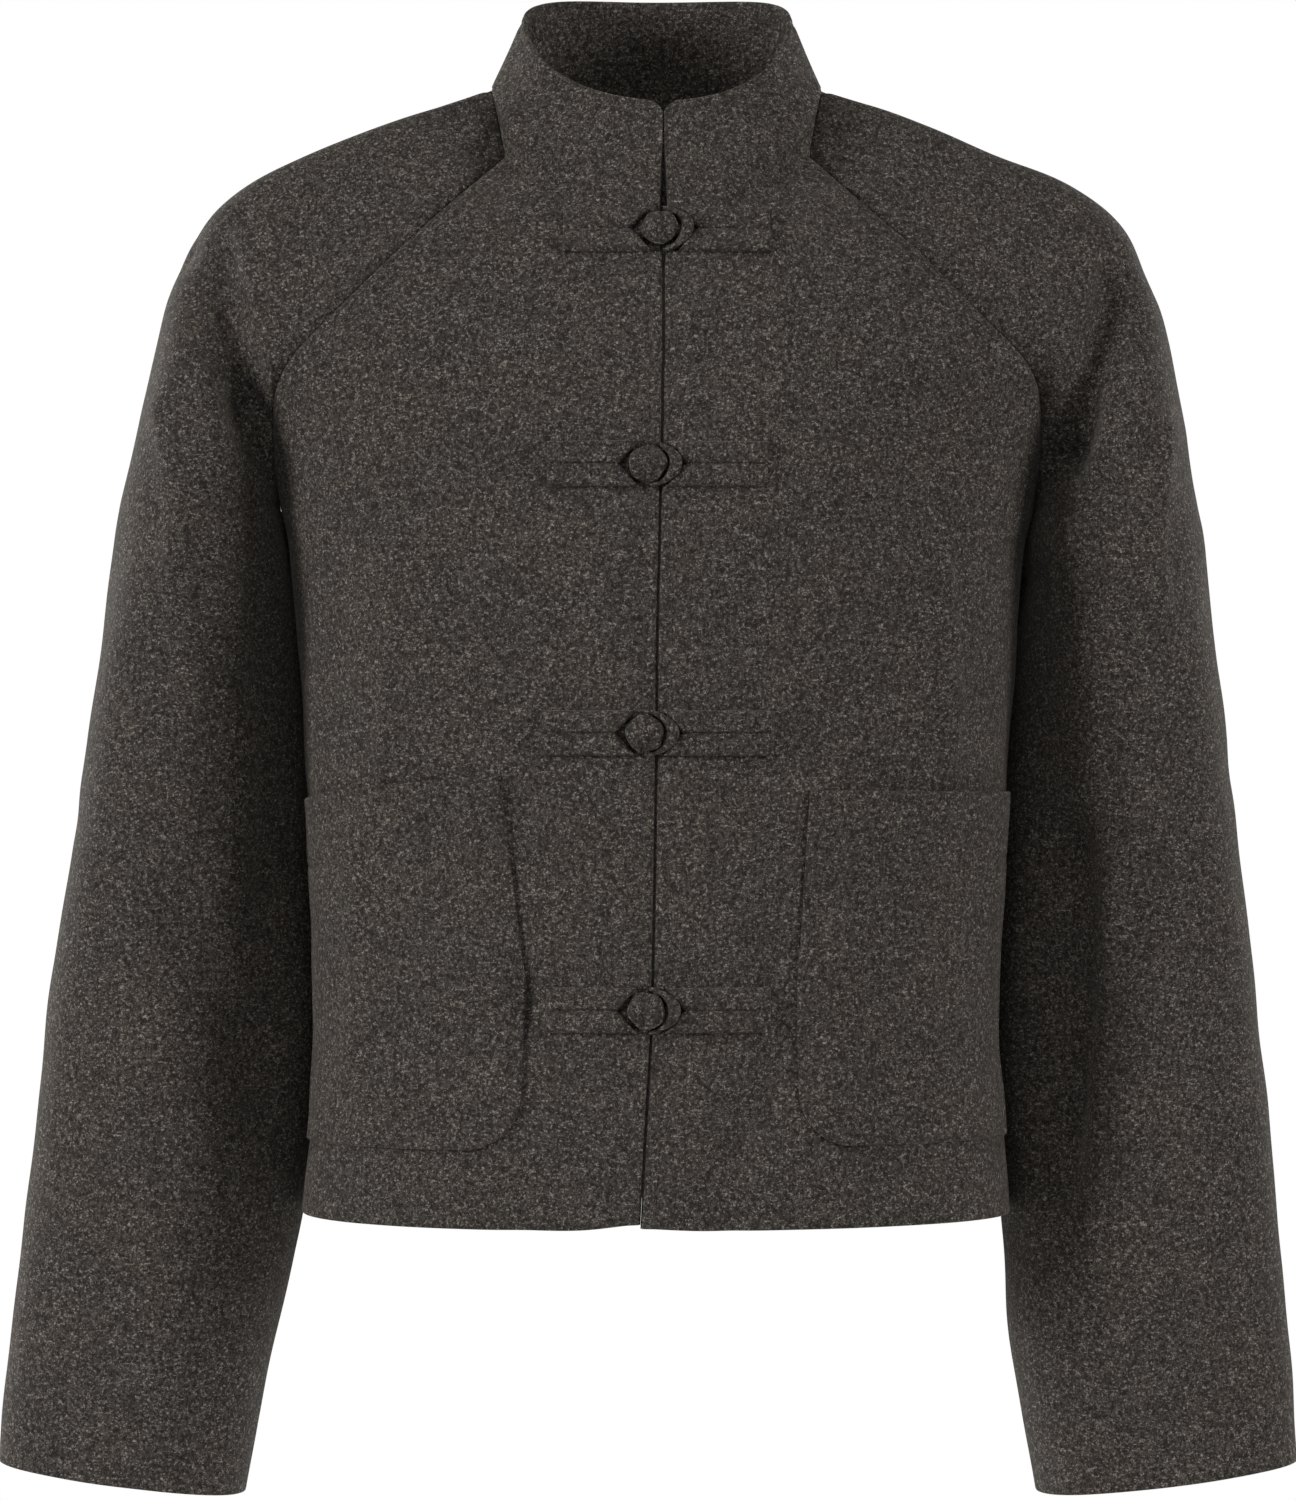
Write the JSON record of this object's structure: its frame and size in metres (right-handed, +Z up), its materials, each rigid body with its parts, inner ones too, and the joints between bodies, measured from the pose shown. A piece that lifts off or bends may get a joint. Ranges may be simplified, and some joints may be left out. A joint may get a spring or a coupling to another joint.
{
  "type": "cropped wool jacket",
  "caption": "Cropped wool jacket with raglan sleeves, a grown-on stand collar, patch pockets and cloth frog fastenings, hollow and filled out as if worn.",
  "frame": {"origin": "middle of the neck, at the height where the shoulders meet the collar", "axes": "+Z up, +X to the viewer's right when the jacket is seen from its front, -Y out of the front"},
  "size_m": [0.6405, 0.2508, 0.7383],
  "materials": {
    "wool": "matte brushed wool, charcoal brown with pale flecks"
  },
  "bodies": {
    "root": {"front_left": "wool", "front_right": "wool", "back": "wool", "sleeve_front_left": "wool", "sleeve_front_right": "wool", "sleeve_back_left": "wool", "sleeve_back_right": "wool", "pocket_left": "wool", "pocket_right": "wool", "frog_tab_1": "wool", "frog_tab_2": "wool", "frog_tab_3": "wool", "frog_tab_4": "wool", "frog_loop_1": "wool", "frog_loop_2": "wool", "frog_loop_3": "wool", "frog_loop_4": "wool", "frog_knot_1": "wool", "frog_knot_2": "wool", "frog_knot_3": "wool", "frog_knot_4": "wool"}
  },
  "joints": []
}
